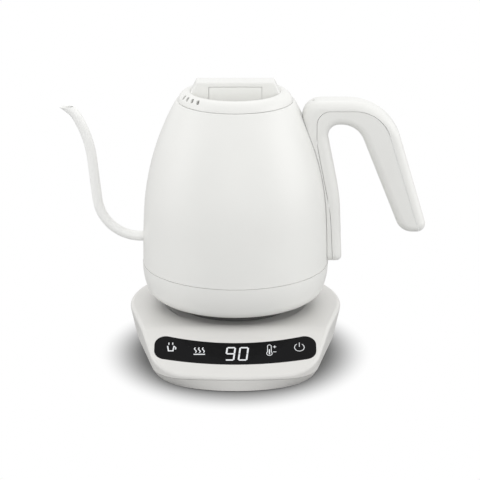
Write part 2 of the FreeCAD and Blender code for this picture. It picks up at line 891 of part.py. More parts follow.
def vessel_solid(inward):
    """Vessel filled to its outer or inner face."""
    lower_curve = shell_lower_curve - vessel_gap - inward
    upper_curve = shell_upper_curve - vessel_gap - inward
    floor = vessel_floor - vessel_wall + inward
    corner_level = vessel_floor - vessel_wall + vessel_corner
    corner_centre = vessel_radius(corner_level) - vessel_corner
    bend = (vessel_corner - inward) * math.sqrt(0.5)
    corner_end = side(vessel_radius(corner_level, inward), corner_level)
    corner_angle = math.asin((corner_level - shell_seam) / lower_curve)
    neck = vessel_neck_radius + vessel_wall - inward
    neck_angle = math.acos((neck - upper_centre.x) / upper_curve)
    edges = [
        arc(side(corner_centre, floor), side(corner_centre + bend, corner_level - bend), corner_end),
        swing(lower_centre, lower_curve, corner_angle, join_angle),
        swing(upper_centre, upper_curve, join_angle, neck_angle),
    ]
    edges += polyline(
        [
            side(neck, upper_centre.z + upper_curve * math.sin(neck_angle)),
            side(neck, vessel_rim),
            side(0, vessel_rim),
            side(0, floor),
            side(corner_centre, floor),
        ]
    )
    return turned(edges)


vessel_inside = vessel_solid(vessel_wall)
vessel_outside = vessel_solid(0.0)
vessel = vessel_outside.cut(vessel_inside)
rim_outer = vessel_neck_radius + vessel_wall + vessel_rim_flange
vessel = vessel.fuse(tube(vessel_neck_radius, rim_outer, vessel_rim - vessel_wall, vessel_rim))
inlet_hole = Part.makeCylinder(
    spout_radius + seat_gap, shell_seam_radius, Vector(0, 0, spout_root_height), toward_spout
)
vessel = vessel.cut(inlet_hole)
sensor_hole = cylinder(sensor_radius + sensor_seal_wall, 0, vessel_floor + 1, -sensor_place, 0)
vessel = vessel.cut(sensor_hole)
save("inner_vessel", vessel)

carrier_inner = vessel_radius(vessel_floor + vessel_corner) + body_gap
carrier_outer = lip_outer - bowl_lip_wall - body_gap
carrier = tube(carrier_inner_radius, carrier_outer, carrier_level, carrier_level + carrier_plate)
carrier_top = carrier_level + carrier_height
carrier_ring = tube(carrier_inner, carrier_inner + carrier_wall, carrier_level, carrier_top)
carrier_boss = cylinder(boss_radius, bowl_screw_meeting + fit_gap, carrier_level + 1, bowl_screw_circle)
carrier = carrier.multiFuse([carrier_ring] + around(carrier_boss, bowl_screw_count, 90.0))
carrier_hole = cylinder(screw_radius + fit_gap, 0, carrier_level, bowl_screw_circle)
for hole in around(carrier_hole, bowl_screw_count, 90.0):
    carrier = carrier.cut(hole)
ledge_rise = vessel_corner - math.sqrt(vessel_corner ** 2 - ledge_reach ** 2)
ledge_inner = carrier_inner - vessel_corner + ledge_reach
ledge_outer = carrier_inner + carrier_wall / 2
ledge = tube(ledge_inner, ledge_outer, carrier_level + carrier_plate / 2, vessel_floor + ledge_rise)
carrier = carrier.fuse(ledge).cut(vessel_outside)
save("vessel_carrier", carrier)

# Heater under the vessel: spreader plate, tubular element, two cut-outs and the sensor
plate_top = vessel_floor - vessel_wall - seat_gap
plate_bottom = plate_top - plate_thickness
plate = cylinder(plate_radius, plate_bottom, plate_top).cut(sensor_hole)
save("heater_plate", plate)

element_level = plate_bottom - element_radius - seat_gap
element = Part.makeTorus(
    element_circle,
    element_radius,
    Vector(0, 0, element_level),
    Vector(0, 0, 1),
    -180,
    180,
    element_sweep,
)
element.rotate(Vector(0, 0, 0), Vector(0, 0, 1), 90.0 - element_sweep / 2 + 180.0)
end_angle = math.radians(90.0 - element_sweep / 2 + 180.0 + 4.0)
for turn in (end_angle, math.radians(540.0) - end_angle):
    x = element_circle * math.cos(turn)
    y = element_circle * math.sin(turn)
    element = element.fuse(
        cylinder(terminal_radius, element_level - element_radius - terminal_length, element_level, x, y)
    )
save("heater_element", element)

cutouts = []
for y in (-cutout_place, cutout_place):
    can = cylinder(cutout_radius, plate_bottom - seat_gap - cutout_height, plate_bottom - seat_gap, 0, y)
    bottom_edges = [e for e in can.Edges if e.BoundBox.ZMax < plate_bottom - cutout_height]
    cutouts.append(can.makeChamfer(cutout_chamfer, bottom_edges))
save("thermal_cutouts", Part.makeCompound(cutouts))

sensor_bottom = plate_bottom - sensor_drop
sensor_top = vessel_floor + sensor_height
sensor = cylinder(sensor_radius, sensor_bottom, sensor_top, -sensor_place, 0)
sensor = sensor.makeFillet(sensor_tip_round, [e for e in sensor.Edges if e.BoundBox.ZMin > sensor_top - 0.1])
flange_top = sensor_bottom + sensor_flange_height
sensor_flange = cylinder(sensor_flange_radius, sensor_bottom, flange_top, -sensor_place, 0)
save("temperature_sensor", sensor.fuse(sensor_flange))
seal_bore = sensor_radius + seat_gap
seal_wall_radius = sensor_radius + sensor_seal_wall - seat_gap
seal_lip_bottom = vessel_floor + seat_gap
seal_lip_top = vessel_floor + sensor_seal_wall
sensor_seal = tube(seal_bore, seal_wall_radius, flange_top + fit_gap, seal_lip_top, -sensor_place, 0)
seal_lip = tube(seal_bore, sensor_flange_radius, seal_lip_bottom, seal_lip_top, -sensor_place, 0)
sensor_seal = sensor_seal.fuse(seal_lip)
save("sensor_seal", sensor_seal)

# Bracket under the heater that holds the socket
bracket_bottom = socket_top + body_gap
bracket_top = bracket_bottom + bracket_plate
socket_bracket = tube(bracket_bore, bracket_radius, bracket_bottom, bracket_top)
stud = cylinder(bracket_stud_radius, bracket_bottom, plate_bottom - seat_gap, bracket_stud_circle)
socket_bracket = socket_bracket.multiFuse(around(stud, 3))
socket_bracket = socket_bracket.cut(cylinder(sensor_flange_radius + 1, 0, shell_seam, -sensor_place, 0))
save("socket_bracket", socket_bracket)

# Neck ring between vessel and shell, with the groove for the lid's latches
neck_outer = neck_bore + neck_tube_wall
neck = tube(neck_bore, neck_outer, neck_bottom, shell_top)
flange_disc = body_core(shell_top - neck_flange, shell_top, shell_wall + fit_gap)
neck = neck.fuse(flange_disc.cut(cylinder(neck_bore, 0, shell_top + 1)))
groove_bottom = latch_level - latch_groove_height / 2
groove_top = latch_level + latch_groove_height / 2
neck = neck.cut(tube(neck_bore - 1, neck_bore + latch_groove_depth, groove_bottom, groove_top))
save("neck_ring", neck)
seal_bottom = vessel_rim + seat_gap
seal_top = shell_top - neck_flange - seat_gap
save("vessel_seal", tube(neck_outer + fit_gap, rim_outer, seal_bottom, seal_top))

# Spout: one bent tube cut level at the mouth
spout_start = -vessel_radius(spout_root_height) + vessel_wall / 2
tip_angle = math.radians(spout_tip_angle)
tip = (
    spout_crook[0] - spout_tip_run * math.cos(tip_angle),
    spout_crook[1] + spout_tip_run * math.sin(tip_angle),
    0.0,
)
spout_route = [
    (spout_start, spout_root_height, 0.0),
    (spout_elbow[0], spout_root_height, spout_elbow[1]),
    spout_bend,
    spout_crook,
    tip,
]
spout_path = rounded_path(spout_route, side, False)


def spout_sweep(radius):
    """Round bar along the spout's line."""
    section = Part.Wire(
        Part.Circle(Vector(spout_start, 0, spout_root_height), Vector(1, 0, 0), radius).toShape()
    )
    return spout_path.makePipeShell([section], True, False)


spout = spout_sweep(spout_radius).cut(spout_sweep(spout_radius - spout_wall))
mouth_end = 2 * spout_crook[0]
above_mouth = block(mouth_end, 0, mouth_end, -mouth_end, spout_mouth, spout_mouth - mouth_end)
spout = spout.cut(above_mouth)
save("spout_tube", spout)

gasket_outer = shell_radius(spout_root_height, shell_wall) - body_gap
gasket = Part.makeCylinder(
    spout_radius + gasket_wall, gasket_length, Vector(-gasket_outer, 0, spout_root_height), Vector(1, 0, 0)
)
gasket = gasket.cut(
    Part.makeCylinder(
        spout_radius + seat_gap, gasket_length, Vector(-gasket_outer, 0, spout_root_height), Vector(1, 0, 0)
    )
)
save("spout_gasket", gasket.common(body_core(shell_bottom, shell_top, shell_wall + seat_gap)))

# Strainer cup over the spout's inlet, with holes in rings
inlet_wall = vessel_radius(spout_root_height, vessel_wall)
strainer_face = -inlet_wall + strainer_stand
toward_wall = Vector(-1, 0, 0)
cup = Part.makeCylinder(
    strainer_radius, vessel_gap, Vector(strainer_face, 0, spout_root_height), toward_wall
)
cup_hollow = Part.makeCylinder(
    strainer_radius - strainer_wall,
    vessel_gap,
    Vector(strainer_face - strainer_wall, 0, spout_root_height),
    toward_wall,
)
cup = cup.cut(cup_hollow).common(body_core(shell_bottom, shell_top, vessel_gap + vessel_wall + seat_gap))
holes = []
for ring in range(3):
    for i in range(max(6 * ring, 1)):
        turn = 2 * math.pi * i / max(6 * ring, 1)
        y = ring * strainer_hole_pitch * math.cos(turn)
        z = spout_root_height + ring * strainer_hole_pitch * math.sin(turn)
        start = Vector(strainer_face + strainer_wall, y, z)
        holes.append(Part.makeCylinder(strainer_hole_radius, 3 * strainer_wall, start, toward_wall))
save("spout_strainer", cup.cut(Part.makeCompound(holes)))

# Handle: two moulded shells that meet along a side seam
handle_corners = [
    (handle_root, handle_top, handle_root_round),
    (handle_shoulder, handle_top, handle_shoulder_round),
    (handle_end_outer, handle_end_level, handle_end_round),
    (handle_end_inner, handle_end_level, handle_flare_round),
    (loop_right, loop_top, loop_right_round),
    (loop_left, loop_top, loop_left_round),
    strip_bend,
    (strip_outer, strip_bottom, strip_end_round),
    (handle_root, strip_bottom, 0.0),
]
handle_face = Part.Face(rounded_path(handle_corners, side, True))


def handle_prism(face, half_width):
    prism = face.extrude(Vector(0, 2 * half_width, 0))
    prism.translate(Vector(0, -half_width, 0))
    return prism


handle_block = handle_prism(handle_face, handle_half_width)


def on_handle_side(edge):
    """True for the outline's edges, apart from those buried in the body."""
    box = edge.BoundBox
    buried = box.XMin < handle_root + 0.1 and box.ZMin < handle_top - 2 * handle_root_round
    return box.YLength < 0.01 and not buried


side_edges = [e for e in handle_block.Edges if on_handle_side(e)]
handle_block = handle_block.makeFillet(handle_round, side_edges)

body_space = body_core(skirt_bottom, shell_top, -body_gap)
cavity_space = body_core(skirt_bottom, shell_top, -body_gap - handle_wall)
handle_cavity = handle_prism(handle_face.makeOffset2D(-handle_wall), handle_half_width - handle_wall)
handle_cavity = handle_cavity.cut(cavity_space)

seam_corners = [
    (seam_end + seam_overrun, handle_end_level - seam_end_drop, 0.0),
    (seam_shoulder, seam_top, seam_shoulder_round),
    (seam_root, seam_top, seam_root_round),
    (seam_root, *seam_strip_start),
    seam_strip,
    (seam_strip_end, strip_bottom - seam_strip_drop, 0.0),
]
seam_region = Part.Face(rounded_path(seam_corners, side, True))
cover_region = handle_prism(seam_region.makeOffset2D(-seam_gap / 2), 2 * handle_half_width)
shell_cutter = handle_prism(seam_region.makeOffset2D(seam_gap / 2), 2 * handle_half_width)

handle_solid = handle_block.cut(body_space).cut(handle_cavity)
handle_outer = handle_solid.cut(shell_cutter)
handle_inner = handle_solid.common(cover_region)
for bracket in (lower_bracket, upper_bracket):
    handle_outer = handle_outer.cut(handle_screw_hole(bracket))
    handle_inner = handle_inner.cut(handle_screw_hole(bracket))
top_hole = cylinder(handle_hole_radius, handle_top - handle_hole_depth, handle_top + 1, handle_hole_place, 0)
handle_outer = handle_outer.cut(top_hole)
save("handle_outer_shell", handle_outer)
save("handle_inner_cover", handle_inner)

brackets = []
for x, thickness, z in (lower_bracket, upper_bracket):
    plate = block(
        x,
        x + thickness,
        -bracket_half_width,
        bracket_half_width,
        z - bracket_half_height,
        z + bracket_half_height,
    )
    start = Vector(x - thickness, 0, z)
    hole = Part.makeCylinder(screw_radius + seat_gap, 4 * thickness, start, Vector(1, 0, 0))
    brackets.append(plate.cut(hole))
save("handle_brackets", Part.makeCompound(brackets))
save("handle_screws", Part.makeCompound([handle_screw_at(lower_bracket), handle_screw_at(upper_bracket)]))

# Lid cap: a domed ring with a finger well and the grip across it
lid_bottom = shell_top + body_gap
lid_crest = shell_top + lid_crown
lid_shoulder = shell_top + lid_shoulder_rise
lid_rim = lid_crest - lid_rim_drop
well_underside = lid_well_floor - lid_wall
well_top = lid_crest - lid_lip_drop
lip_radius = lid_well_radius + lid_lip
cap_edges = [
    arc(side(lid_radius, lid_bottom), side(lid_shoulder_radius, lid_shoulder), side(lid_crest_radius, lid_crest)),
    arc(
        side(lid_crest_radius, lid_crest),
        side(lid_crest_radius - lid_crest_inset, lid_crest - lid_crest_drop),
        side(lip_radius, well_top),
    ),
]
cap_edges += polyline(
    [
        side(lip_radius, well_top),
        side(lid_well_radius, lid_well_floor + lid_well_round),
    ]
)
bend = lid_well_round * (1 - math.sqrt(0.5))
cap_edges.append(
    arc(
        side(lid_well_radius, lid_well_floor + lid_well_round),
        side(lid_well_radius - bend, lid_well_floor + bend),
        side(lid_well_radius - lid_well_round, lid_well_floor),
    )
)
cap_edges += polyline(
    [
        side(lid_well_radius - lid_well_round, lid_well_floor),
        side(0, lid_well_floor),
        side(0, well_underside),
        side(lid_plug_radius, well_underside),
        side(lid_plug_radius, lid_rim),
        side(lid_plug_radius + lid_rim_step, lid_rim),
    ]
)
cap_edges.append(
    arc(
        side(lid_plug_radius + lid_rim_step, lid_rim),
        side(lid_shoulder_radius - lid_hollow_inset, lid_shoulder - lid_hollow_drop),
        side(lid_radius - lid_wall, lid_bottom),
    )
)
cap_edges.append(line(side(lid_radius - lid_wall, lid_bottom), side(lid_radius, lid_bottom)))
cap = turned(cap_edges)


def level_rectangle(half_x, half_y, level):
    corners = [
        Vector(-half_x, -half_y, level),
        Vector(half_x, -half_y, level),
        Vector(half_x, half_y, level),
        Vector(-half_x, half_y, level),
    ]
    return Part.Wire(polyline(corners + corners[:1]))


grip_foot = lid_well_floor - lid_wall / 2
grip = Part.makeLoft(
    [
        level_rectangle(grip_foot_half_length, grip_half_depth, grip_foot),
        level_rectangle(grip_top_half_length, grip_top_half_depth, grip_top),
    ],
    True,
    True,
)
grip = grip.makeFillet(grip_edge_round, [e for e in grip.Edges if e.BoundBox.ZMax > grip_top - 0.1])
grip = grip.common(cylinder(lid_well_radius + lid_wall, grip_foot, grip_top))
cavity_half_depth = grip_top_half_depth - grip_wall
grip_cavity = block(
    -grip_top_half_length + grip_wall,
    grip_top_half_length - grip_wall,
    -cavity_half_depth,
    cavity_half_depth,
    well_underside - 1,
    grip_top - grip_wall,
)
rib = block(
    -rib_half_length,
    rib_half_length,
    -rib_half_thickness,
    rib_half_thickness,
    well_underside,
    grip_top - grip_wall / 2,
)
button_window = block(
    -button_half_length - body_gap,
    button_half_length + body_gap,
    -2 * grip_half_depth,
    2 * grip_half_depth,
    button_bottom - body_gap,
    button_top + body_gap,
)
cap = cap.fuse(grip).cut(grip_cavity).cut(button_window).fuse(rib)
cap_boss_bottom = lid_base_level + lid_base_floor + seat_gap
for x, y in lid_screw_places:
    cap = cap.fuse(cylinder(lid_boss_radius, cap_boss_bottom, well_underside + lid_wall / 2, x, y))
    cap = cap.cut(cylinder(screw_radius + fit_gap, 0, well_underside, x, y))

# Steam vents: slanted slots through the ring, four on the spout side of the front and four opposite
vent = block(
    -vent_width / 2, vent_width / 2, -vent_length / 2, vent_length / 2, -vent_reach, vent_reach
)
vent = vent.makeFillet(vent_width / 2 - seat_gap, [e for e in vent.Edges if e.BoundBox.ZLength > vent_reach])
vent.rotate(Vector(0, 0, 0), Vector(0, 0, 1), vent_slant)
vent.rotate(Vector(0, 0, 0), Vector(1, 0, 0), vent_tilt)
vent.translate(Vector(0, -vent_radius, lid_shoulder + vent_lift))
for start in (0.0, 180.0):
    for i in range(vent_count):
        slot = vent.copy()
        slot.rotate(Vector(0, 0, 0), Vector(0, 0, 1), start - vent_first - vent_pitch * i)
        cap = cap.cut(slot)
save("lid_cap", cap)

# Lid base: the plug under the cap, with its silicone seal and screws
base_cup_top = well_underside - seat_gap
base_floor_top = lid_base_level + lid_base_floor
lid_base = cylinder(lid_plug_radius, lid_base_level, base_cup_top)
lid_base = lid_base.cut(cylinder(lid_plug_radius - lid_base_wall, base_floor_top, base_cup_top))
slider_top = latch_level + slider_thickness / 2
slider_bottom = latch_level - slider_thickness / 2
latch_slot = block(
    -slider_half_width - body_gap,
    slider_half_width + body_gap,
    -neck_bore,
    neck_bore,
    slider_bottom - body_gap,
    base_cup_top,
)
lid_base = lid_base.cut(latch_slot)
for x, y in lid_screw_places:
    lid_base = lid_base.cut(cylinder(screw_radius + fit_gap, 0, shell_top, x, y))
save("lid_base", lid_base)
seal_outer = neck_bore - body_gap
seal_foot = lid_base_level + lid_seal_lift
lid_seal = tube(lid_plug_radius + seat_gap, seal_outer, seal_foot, seal_foot + lid_seal_height)
seal_edges = [e for e in lid_seal.Edges if e.BoundBox.XMax > seal_outer - 0.1 and e.BoundBox.ZLength < 0.1]
lid_seal = lid_seal.makeChamfer(lid_seal_chamfer, seal_edges)
save("lid_seal", lid_seal)
lid_screws = []
lid_screw_length = well_underside - lid_base_level - body_gap
for x, y in lid_screw_places:
    placed = screw(lid_screw_length)
    placed.translate(Vector(x, y, lid_base_level - seat_gap))
    lid_screws.append(placed)
save("lid_screws", Part.makeCompound(lid_screws))

# Pinch button with the latch slider that it draws in
latch_tip = neck_bore - body_gap
button_back = -grip_top_half_depth + button_depth
button = block(
    -button_half_length, button_half_length, -2 * grip_half_depth, button_back, button_bottom, button_top
).common(grip)
face_edges = [
    e for e in button.Edges if e.BoundBox.ZMin > button_top - 0.01 and e.BoundBox.YMax < button_back - 1
]
button = button.makeFillet(button_edge_round, face_edges)
arm = block(
    -slider_half_width,
    slider_half_width,
    -cavity_half_depth + body_gap,
    button_back,
    slider_bottom,
    button_bottom + 2,
)
slider = block(-slider_half_width, slider_half_width, -latch_tip, button_back, slider_bottom, slider_top)
slider = slider.common(cylinder(latch_tip, 0, shell_top))
front_button = button.multiFuse([arm, slider])
rear_button = front_button.copy()
rear_button.rotate(Vector(0, 0, 0), Vector(0, 0, 1), 180)
save("front_button", front_button)
save("rear_button", rear_button)

# Leaf spring between the middle rib and each button
spring_foot = -rib_half_thickness - seat_gap
spring_bow = button_back + seat_gap


def spring_arc(shift):
    return arc(
        Vector(-leaf_spring_half_length, spring_foot - shift, 0),
        Vector(0, spring_bow + leaf_spring_thickness - shift, 0),
        Vector(leaf_spring_half_length, spring_foot - shift, 0),
    )


front_of_leaf = spring_arc(leaf_spring_thickness)
back_of_leaf = spring_arc(0.0)
leaf = Part.Face(
    Part.Wire(
        Part.__sortEdges__(
            [
                front_of_leaf,
                back_of_leaf,
                line(front_of_leaf.Vertexes[0].Point, back_of_leaf.Vertexes[0].Point),
                line(front_of_leaf.Vertexes[1].Point, back_of_leaf.Vertexes[1].Point),
            ]
        )
    )
).extrude(Vector(0, 0, leaf_spring_width))
leaf.translate(Vector(0, 0, leaf_spring_level - leaf_spring_width / 2))
rear_leaf = leaf.copy()
rear_leaf.rotate(Vector(0, 0, 0), Vector(0, 0, 1), 180)
save("front_spring", leaf)
save("rear_spring", rear_leaf)
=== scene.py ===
import math

import bmesh
import bpy
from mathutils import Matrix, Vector


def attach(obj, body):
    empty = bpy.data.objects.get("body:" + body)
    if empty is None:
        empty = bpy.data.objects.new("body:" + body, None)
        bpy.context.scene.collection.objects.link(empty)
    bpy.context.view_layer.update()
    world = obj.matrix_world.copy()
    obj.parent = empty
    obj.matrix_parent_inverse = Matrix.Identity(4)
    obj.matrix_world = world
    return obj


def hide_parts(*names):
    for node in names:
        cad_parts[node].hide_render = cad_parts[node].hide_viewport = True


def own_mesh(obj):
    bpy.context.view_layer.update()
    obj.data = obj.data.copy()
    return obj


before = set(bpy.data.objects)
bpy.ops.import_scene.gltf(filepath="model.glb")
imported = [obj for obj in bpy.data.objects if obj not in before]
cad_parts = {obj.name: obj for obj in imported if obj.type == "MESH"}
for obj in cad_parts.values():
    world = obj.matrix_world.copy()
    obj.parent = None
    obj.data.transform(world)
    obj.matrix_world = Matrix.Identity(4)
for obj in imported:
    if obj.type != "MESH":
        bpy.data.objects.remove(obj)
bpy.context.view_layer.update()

# Bottom tray and top cover of the power base: two shells injection-moulded in white plastic.
# The cover's walls lean in, its front slopes down to the panel, and it closes on the tray along
# a thin parting line, held by screws from below.

MM = 0.001
# The base's white and its patch tone are set darker than the kettle's, though both are the same satin
# plastic: painted shade for the shade the kettle casts on the base.
base_white_painted_shade = "#DAD9D6"
base_patch_painted_shade = "#D6D5D2"
casing_roughness = 0.36
casing_grain_mm = 0.9
casing_grain_depth_mm = 0.004
gloss_patch_mm = 35.0
gloss_spread = 0.03
grain_strength = 0.35
plastic_ior = 1.49


def linear(hex_colour):
    """sRGB hex value as a linear colour."""
    channels = [int(hex_colour[i:i + 2], 16) / 255 for i in (1, 3, 5)]
    return [c / 12.92 if c <= 0.04045 else ((c + 0.055) / 1.055) ** 2.4 for c in channels] + [1.0]


def add_node(tree, kind, values, links):
    """Add one node, set its values and link its inputs."""
    node = tree.nodes.new("ShaderNode" + kind)
    for name, value in values.items():
        if name in node.inputs:
            node.inputs[name].default_value = value
        else:
            setattr(node, name, value)
    for name, source in links.items():
        tree.links.new(source, node.inputs[name])
    return node


def start_material(name):
    """Empty material, its node tree and the place on the piece that its patterns read."""
    material = bpy.data.materials.new(name)
    material.use_nodes = True
    tree = material.node_tree
    tree.nodes.clear()
    place = add_node(tree, "TexCoord", {}, {}).outputs["Object"]
    return material, tree, place


def moulded_plastic(name, colour, shade, roughness, grain_mm, grain_depth_mm):
    """Moulded plastic: even colour, a fine spark-eroded grain and slightly patchy gloss.

    The real grain is a few hundredths of a millimetre, so it is drawn coarser to show.
    """
    material, tree, place = start_material(name)
    grain = add_node(tree, "TexNoise", {"Scale": 1 / (grain_mm * MM), "Detail": 2.0}, {"Vector": place})
    patch = add_node(tree, "TexNoise", {"Scale": 1 / (gloss_patch_mm * MM), "Detail": 3.0}, {"Vector": place})
    gloss = add_node(
        tree,
        "MapRange",
        {"To Min": roughness - gloss_spread, "To Max": roughness + gloss_spread},
        {"Value": patch.outputs["Fac"]},
    )
    tint = add_node(
        tree,
        "MixRGB",
        {"Color1": linear(shade), "Color2": linear(colour)},
        {"Fac": patch.outputs["Fac"]},
    )
    bump = add_node(
        tree,
        "Bump",
        {"Strength": grain_strength, "Distance": grain_depth_mm * MM},
        {"Height": grain.outputs["Fac"]},
    )
    shader = add_node(
        tree,
        "BsdfPrincipled",
        {"IOR": plastic_ior},
        {
            "Base Color": tint.outputs["Color"],
            "Roughness": gloss.outputs["Result"],
            "Normal": bump.outputs["Normal"],
        },
    )
    add_node(tree, "OutputMaterial", {}, {"Surface": shader.outputs[0]})
    return material


def dress(material, *nodes):
    """Give nodes of the frame a finished material."""
    for node in nodes:
        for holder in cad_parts[node].material_slots:
            holder.material = material


# The base is dressed in the darker white, which is painted shade over the whole base.
shaded_base_plastic = moulded_plastic(
    "base_white_satin_plastic_with_painted_shade",
    base_white_painted_shade,
    base_patch_painted_shade,
    casing_roughness,
    casing_grain_mm,
    casing_grain_depth_mm,
)
dress(shaded_base_plastic, "base_bottom_tray", "base_top_cover")

# Rubber feet: five round buttons of dark moulded rubber, pressed into sockets under the tray.
# The matt skin scatters light and takes on a little pale dust.

rubber_black = "#2E2E2F"
rubber_dust = "#3E3E3D"
rubber_roughness = 0.78
rubber_skin_mm = 0.6
rubber_skin_depth_mm = 0.03

rubber = moulded_plastic(
    "dark_grey_moulded_rubber",
    rubber_dust,
    rubber_black,
    rubber_roughness,
    rubber_skin_mm,
    rubber_skin_depth_mm,
)
dress(rubber, "rubber_feet")

# Screws and brackets: steel with a bright zinc plating, turned or stamped.
# The plating shows a faint crystal bloom that breaks up its shine; the screws hold base, bowl,
# handle and lid together.

zinc_bright = "#C2C4C9"
zinc_dull = "#A6A9B0"
zinc_roughness = 0.34
zinc_bloom_mm = 1.5
shine_spread = 0.1
mark_strength = 0.2
mark_depth_mm = 0.01
no_stretch = (1.0, 1.0, 1.0)


def plain_metal(name, bright, dull, roughness, mark_mm, stretch):
    """Bare metal with uneven marks in its colour and shine, stretched along the way it was worked."""
    material, tree, place = start_material(name)
    along = add_node(tree, "Mapping", {"Scale": stretch}, {"Vector": place})
    marks = add_node(
        tree,
        "TexNoise",
        {"Scale": 1 / (mark_mm * MM), "Detail": 4.0},
        {"Vector": along.outputs["Vector"]},
    )
    gloss = add_node(
        tree,
        "MapRange",
        {"To Min": roughness - shine_spread, "To Max": roughness + shine_spread},
        {"Value": marks.outputs["Fac"]},
    )
    tint = add_node(
        tree,
        "MixRGB",
        {"Color1": linear(dull), "Color2": linear(bright)},
        {"Fac": marks.outputs["Fac"]},
    )
    bump = add_node(
        tree,
        "Bump",
        {"Strength": mark_strength, "Distance": mark_depth_mm * MM},
        {"Height": marks.outputs["Fac"]},
    )
    shader = add_node(
        tree,
        "BsdfPrincipled",
        {"Metallic": 1.0},
        {
            "Base Color": tint.outputs["Color"],
            "Roughness": gloss.outputs["Result"],
            "Normal": bump.outputs["Normal"],
        },
    )
    add_node(tree, "OutputMaterial", {}, {"Surface": shader.outputs[0]})
    return material


zinc = plain_metal("zinc_plated_steel", zinc_bright, zinc_dull, zinc_roughness, zinc_bloom_mm, no_stretch)
dress(zinc, "base_screws", "bowl_screws", "handle_screws", "lid_screws", "handle_brackets", "socket_bracket")

# Supply board and display board: glass-fibre boards under a green solder mask.
# Copper tracks show through the mask as paler bars; the boards are screwed and clipped in the base.

mask_green = "#1F5A33"
mask_deep = "#1B5230"
track_green = "#3A8450"
track_pitch_mm = 1.27
track_length_mm = 9.0
track_width_mm = 0.25
mask_roughness = 0.38
mask_ior = 1.5

board, tree, place = start_material("green_solder_mask_on_board")
tracks = add_node(
    tree,
    "TexBrick",
    {
        "Color1": linear(mask_green),
        "Color2": linear(mask_deep),
        "Mortar": linear(track_green),
        "Scale": 1 / MM,
        "Mortar Size": track_width_mm,
        "Brick Width": track_length_mm,
        "Row Height": track_pitch_mm,
    },
    {"Vector": place},
)
shader = add_node(
    tree,
    "BsdfPrincipled",
    {"IOR": mask_ior, "Roughness": mask_roughness},
    {"Base Color": tracks.outputs["Color"]},
)
add_node(tree, "OutputMaterial", {}, {"Surface": shader.outputs[0]})
dress(board, "supply_board", "display_board")

# Relay, transformer, buzzer, digit block and cord gland: black moulded plastic, soldered or clipped in.
# The plastic carries a fine eroded grain that keeps its highlights soft.

plastic_black = "#222224"
plastic_black_shade = "#1B1B1D"
black_roughness = 0.45
black_grain_mm = 0.8
black_grain_depth_mm = 0.01

black_plastic = moulded_plastic(
    "black_moulded_plastic",
    plastic_black,
    plastic_black_shade,
    black_roughness,
    black_grain_mm,
    black_grain_depth_mm,
)
dress(black_plastic, "supply_relay", "supply_transformer", "buzzer", "digit_module", "cord_gland")

# Touch pads: dark conductive foam between the display board and the window.
# Its open cells give a dull, deeply pitted face.

foam_grey = "#2A2A2A"
foam_pit = "#161616"
foam_roughness = 0.9
foam_cell_mm = 1.2
foam_pit_depth_mm = 0.2

foam = moulded_plastic(
    "conductive_foam",
    foam_grey,
    foam_pit,
    foam_roughness,
    foam_cell_mm,
    foam_pit_depth_mm,
)
dress(foam, "touch_pads")

# Panel window: a plate of smoked black acrylic, polished, glued flush into the sloping front.
# It looks near black; an anti-glare skin keeps its reflection weak.

acrylic_black = "#0A0A0B"
acrylic_smoke = "#0D0D0F"
acrylic_haze_mm = 16.0
acrylic_clear_roughness = 0.05
acrylic_haze_roughness = 0.1
acrylic_specular = 0.12

window_acrylic, tree, place = start_material("smoked_black_acrylic_polished")
haze = add_node(tree, "TexNoise", {"Scale": 1 / (acrylic_haze_mm * MM), "Detail": 2.0}, {"Vector": place})
haze_gloss = add_node(
    tree,
    "MapRange",
    {"To Min": acrylic_clear_roughness, "To Max": acrylic_haze_roughness},
    {"Value": haze.outputs["Fac"]},
)
smoke = add_node(
    tree,
    "MixRGB",
    {"Color1": linear(acrylic_black), "Color2": linear(acrylic_smoke)},
    {"Fac": haze.outputs["Fac"]},
)
shader = add_node(
    tree,
    "BsdfPrincipled",
    {"IOR": plastic_ior, "Specular IOR Level": acrylic_specular},
    {"Base Color": smoke.outputs["Color"], "Roughness": haze_gloss.outputs["Result"]},
)
add_node(tree, "OutputMaterial", {}, {"Surface": shader.outputs[0]})
dress(window_acrylic, "display_window")

# Lit signs on the panel: two figures, a cup, a boiling sign, a thermometer with plus and minus,
# and a power sign. They are white prints on the window's face, lit from behind; each stroke is
# a thin ribbon laid on the slope.

slope_angle = math.radians(29)
slope_start = Vector((0.0, -66.0, 38.0)) * MM
print_height_mm = 0.04
figure_stroke_mm = 1.3
figure_width_mm = 6.4
figure_height_mm = 12.8
figure_lean = 0.11
figure_gap_mm = 0.25
figures_down_mm = 27.7
tens_across_mm = -3.9
units_across_mm = 6.5
thick_stroke_mm = 1.0
sign_stroke_mm = 0.8
thin_stroke_mm = 0.55


def on_panel(across, down):
    """Point on the window's face, in millimetres across and down its slope."""
    return slope_start + MM * Vector((across, -down * math.cos(slope_angle), -down * math.sin(slope_angle)))


def lit_ribbon(form, points, stroke):
    """Ribbon of even width along points of the panel, mitred at its corners and lifted to its thickness."""
    points = [Vector(point) for point in points]
    sides = []
    for index, point in enumerate(points):
        before = (point - points[index - 1]).normalized() if index else None
        after = (points[index + 1] - point).normalized() if index < len(points) - 1 else None
        way = ((before or after) + (after or before)).normalized()
        aside = Vector((-way.y, way.x)) * stroke / 2 / max(way.dot(before or after), 0.5)
        sides.append([form.verts.new(on_panel(*(point + aside * turn))) for turn in (1, -1)])
    faces = [form.faces.new((a[0], a[1], b[1], b[0])) for a, b in zip(sides, sides[1:])]
    raised = bmesh.ops.extrude_face_region(form, geom=faces)["geom"]
    lift = MM * print_height_mm * Vector((0.0, -math.sin(slope_angle), math.cos(slope_angle)))
    corners = [part for part in raised if isinstance(part, bmesh.types.BMVert)]
    bmesh.ops.translate(form, verts=corners, vec=lift)


def sign_stroke(form, centre, points, stroke):
    """Ribbon through points given from a sign's centre."""
    lit_ribbon(form, [(centre[0] + across, centre[1] + down) for across, down in points], stroke)


